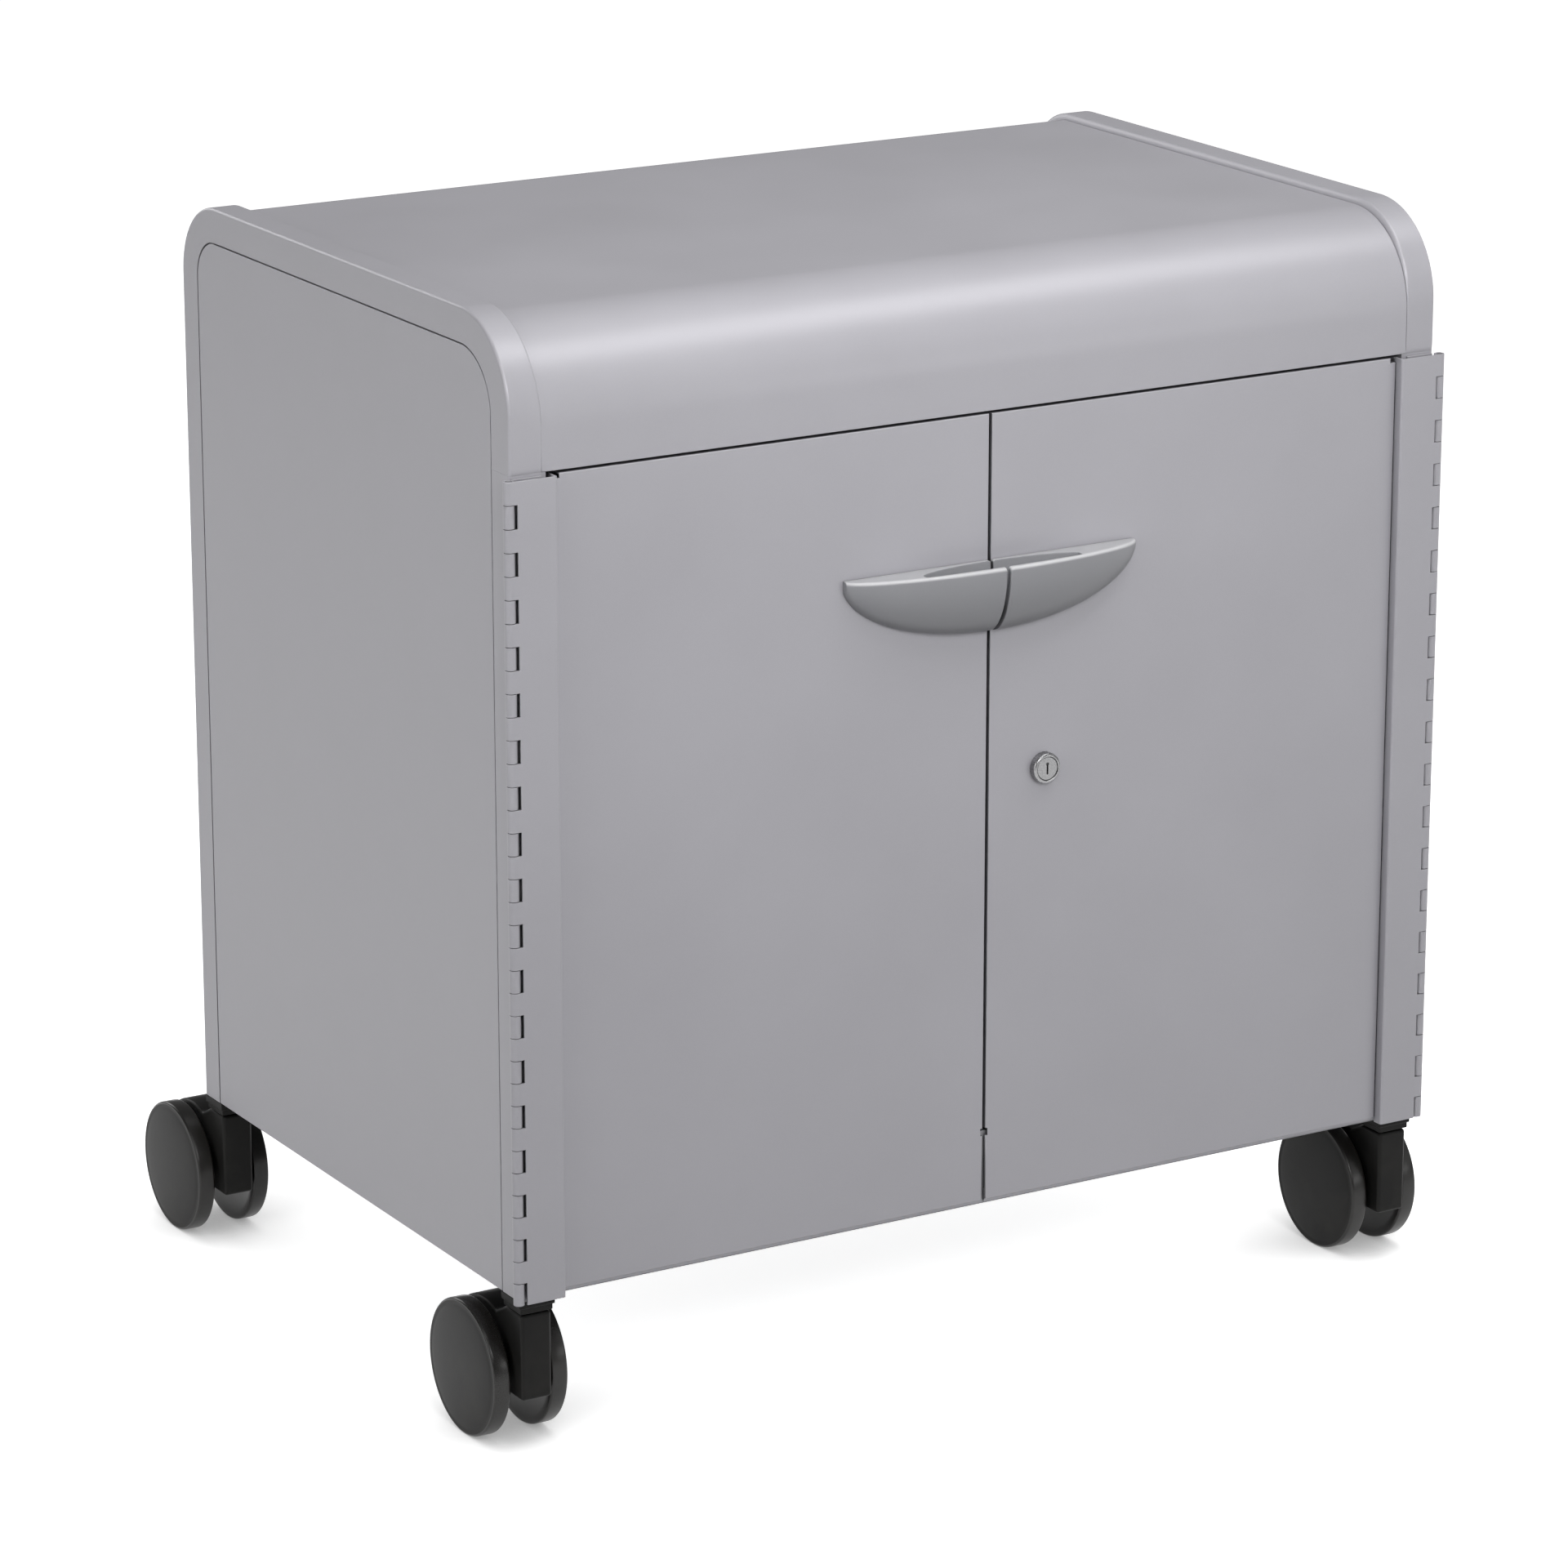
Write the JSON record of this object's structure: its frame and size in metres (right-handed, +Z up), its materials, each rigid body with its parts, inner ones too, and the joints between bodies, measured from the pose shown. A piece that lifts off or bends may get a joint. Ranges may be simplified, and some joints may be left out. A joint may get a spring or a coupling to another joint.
{
  "type": "mobile tote tray cabinet",
  "caption": "Steel storage cabinet with rounded end frames, double doors on knuckled strip hinges, a split cup pull and a cam lock, on twin-wheel casters, holding pull-out tote trays.",
  "frame": {"origin": "centre of the part's box on the floor, midway between the two sides; the box runs from the pulls' front to the back of the rear wheels", "axes": "+Z up, -Y towards the front with the doors, +X to the right as seen from the front"},
  "size_m": [0.7968, 0.6148, 0.81],
  "materials": {
    "silver_paint": "satin metallic powder coat",
    "inner_paint": "matte powder coat",
    "pull_lacquer": "smooth satin lacquer",
    "plated_steel": "zinc plated",
    "lock_chrome": "satin nickel",
    "catch_plastic": "moulded",
    "caster_plastic": "moulded, satin",
    "wheel_plastic": "moulded, satin faces and glossy rims",
    "tray_plastic": "moulded, fine texture"
  },
  "bodies": {
    "cabinet": {"end_frame_left": "silver_paint", "side_panel_left": "silver_paint", "end_frame_right": "silver_paint", "side_panel_right": "silver_paint", "top_shell": "silver_paint", "back_panel": "silver_paint", "base_deck": "inner_paint", "centre_divider": "inner_paint", "lock_keeper": "inner_paint", "runner_rack_left_outer": "inner_paint", "runner_rack_left_inner": "inner_paint", "runner_rack_right_outer": "inner_paint", "runner_rack_right_inner": "inner_paint", "hinge_leaf_body_left": "silver_paint", "hinge_pin_left": "plated_steel", "hinge_leaf_body_right": "silver_paint", "hinge_pin_right": "plated_steel", "magnetic_catch": "catch_plastic", "caster_socket_front_left": "caster_plastic", "caster_socket_front_right": "caster_plastic", "caster_socket_back_left": "caster_plastic", "caster_socket_back_right": "caster_plastic"},
    "door_left": {"door_left": "silver_paint", "hinge_leaf_door_left": "silver_paint", "pull_left": "pull_lacquer", "catch_strike_left": "plated_steel"},
    "door_right": {"door_right": "silver_paint", "hinge_leaf_door_right": "silver_paint", "pull_right": "pull_lacquer", "catch_strike_right": "plated_steel", "lock_housing": "lock_chrome", "lock_nut": "plated_steel"},
    "lock_cam": {"lock_plug": "lock_chrome", "lock_cam": "plated_steel"},
    "tray_left_1": {"tray_left_1": "tray_plastic"},
    "tray_left_2": {"tray_left_2": "tray_plastic"},
    "tray_left_3": {"tray_left_3": "tray_plastic"},
    "tray_left_4": {"tray_left_4": "tray_plastic"},
    "tray_left_5": {"tray_left_5": "tray_plastic"},
    "tray_right_1": {"tray_right_1": "tray_plastic"},
    "tray_right_2": {"tray_right_2": "tray_plastic"},
    "tray_right_3": {"tray_right_3": "tray_plastic"},
    "tray_right_4": {"tray_right_4": "tray_plastic"},
    "tray_right_5": {"tray_right_5": "tray_plastic"},
    "caster_front_left": {"caster_housing_front_left": "caster_plastic", "caster_axle_front_left": "plated_steel"},
    "wheel_front_left_left": {"caster_wheel_front_left_left": "wheel_plastic"},
    "wheel_front_left_right": {"caster_wheel_front_left_right": "wheel_plastic"},
    "caster_front_right": {"caster_housing_front_right": "caster_plastic", "caster_axle_front_right": "plated_steel"},
    "wheel_front_right_left": {"caster_wheel_front_right_left": "wheel_plastic"},
    "wheel_front_right_right": {"caster_wheel_front_right_right": "wheel_plastic"},
    "caster_back_left": {"caster_housing_back_left": "caster_plastic", "caster_axle_back_left": "plated_steel"},
    "wheel_back_left_left": {"caster_wheel_back_left_left": "wheel_plastic"},
    "wheel_back_left_right": {"caster_wheel_back_left_right": "wheel_plastic"},
    "caster_back_right": {"caster_housing_back_right": "caster_plastic", "caster_axle_back_right": "plated_steel"},
    "wheel_back_right_left": {"caster_wheel_back_right_left": "wheel_plastic"},
    "wheel_back_right_right": {"caster_wheel_back_right_right": "wheel_plastic"}
  },
  "joints": [
    {"name": "door_swing_left", "type": "hinge", "parent": "cabinet", "child": "door_left", "pos_m": [-0.3836, -0.28435, 0.41], "axis": [0, 0, -1], "range_deg": [0, 245]},
    {"name": "door_swing_right", "type": "hinge", "parent": "cabinet", "child": "door_right", "pos_m": [0.3836, -0.28435, 0.41], "axis": [0, 0, 1], "range_deg": [0, 245]},
    {"name": "lock_turn", "type": "hinge", "parent": "door_right", "child": "lock_cam", "pos_m": [0.047, -0.2806, 0.44], "axis": [0, 1, 0], "range_deg": [0, 90]},
    {"name": "tray_left_1_slide", "type": "slide", "parent": "cabinet", "child": "tray_left_1", "axis": [0, -1, 0], "range_m": [0, 0.035]},
    {"name": "tray_left_2_slide", "type": "slide", "parent": "cabinet", "child": "tray_left_2", "axis": [0, -1, 0], "range_m": [0, 0.035]},
    {"name": "tray_left_3_slide", "type": "slide", "parent": "cabinet", "child": "tray_left_3", "axis": [0, -1, 0], "range_m": [0, 0.035]},
    {"name": "tray_left_4_slide", "type": "slide", "parent": "cabinet", "child": "tray_left_4", "axis": [0, -1, 0], "range_m": [0, 0.035]},
    {"name": "tray_left_5_slide", "type": "slide", "parent": "cabinet", "child": "tray_left_5", "axis": [0, -1, 0], "range_m": [0, 0.035]},
    {"name": "tray_right_1_slide", "type": "slide", "parent": "cabinet", "child": "tray_right_1", "axis": [0, -1, 0], "range_m": [0, 0.035]},
    {"name": "tray_right_2_slide", "type": "slide", "parent": "cabinet", "child": "tray_right_2", "axis": [0, -1, 0], "range_m": [0, 0.035]},
    {"name": "tray_right_3_slide", "type": "slide", "parent": "cabinet", "child": "tray_right_3", "axis": [0, -1, 0], "range_m": [0, 0.035]},
    {"name": "tray_right_4_slide", "type": "slide", "parent": "cabinet", "child": "tray_right_4", "axis": [0, -1, 0], "range_m": [0, 0.035]},
    {"name": "tray_right_5_slide", "type": "slide", "parent": "cabinet", "child": "tray_right_5", "axis": [0, -1, 0], "range_m": [0, 0.035]},
    {"name": "caster_swivel_front_left", "type": "hinge", "parent": "cabinet", "child": "caster_front_left", "pos_m": [-0.367, -0.2666, 0.1055], "axis": [0, 0, 1], "continuous": true},
    {"name": "wheel_spin_front_left_left", "type": "hinge", "parent": "caster_front_left", "child": "wheel_front_left_left", "pos_m": [-0.367, -0.2206, 0.05], "axis": [1, 0, 0], "continuous": true},
    {"name": "wheel_spin_front_left_right", "type": "hinge", "parent": "caster_front_left", "child": "wheel_front_left_right", "pos_m": [-0.367, -0.2206, 0.05], "axis": [1, 0, 0], "continuous": true},
    {"name": "caster_swivel_front_right", "type": "hinge", "parent": "cabinet", "child": "caster_front_right", "pos_m": [0.367, -0.2666, 0.1055], "axis": [0, 0, 1], "continuous": true},
    {"name": "wheel_spin_front_right_left", "type": "hinge", "parent": "caster_front_right", "child": "wheel_front_right_left", "pos_m": [0.367, -0.2206, 0.05], "axis": [1, 0, 0], "continuous": true},
    {"name": "wheel_spin_front_right_right", "type": "hinge", "parent": "caster_front_right", "child": "wheel_front_right_right", "pos_m": [0.367, -0.2206, 0.05], "axis": [1, 0, 0], "continuous": true},
    {"name": "caster_swivel_back_left", "type": "hinge", "parent": "cabinet", "child": "caster_back_left", "pos_m": [-0.367, 0.2114, 0.1055], "axis": [0, 0, 1], "continuous": true},
    {"name": "wheel_spin_back_left_left", "type": "hinge", "parent": "caster_back_left", "child": "wheel_back_left_left", "pos_m": [-0.367, 0.2574, 0.05], "axis": [1, 0, 0], "continuous": true},
    {"name": "wheel_spin_back_left_right", "type": "hinge", "parent": "caster_back_left", "child": "wheel_back_left_right", "pos_m": [-0.367, 0.2574, 0.05], "axis": [1, 0, 0], "continuous": true},
    {"name": "caster_swivel_back_right", "type": "hinge", "parent": "cabinet", "child": "caster_back_right", "pos_m": [0.367, 0.2114, 0.1055], "axis": [0, 0, 1], "continuous": true},
    {"name": "wheel_spin_back_right_left", "type": "hinge", "parent": "caster_back_right", "child": "wheel_back_right_left", "pos_m": [0.367, 0.2574, 0.05], "axis": [1, 0, 0], "continuous": true},
    {"name": "wheel_spin_back_right_right", "type": "hinge", "parent": "caster_back_right", "child": "wheel_back_right_right", "pos_m": [0.367, 0.2574, 0.05], "axis": [1, 0, 0], "continuous": true}
  ]
}
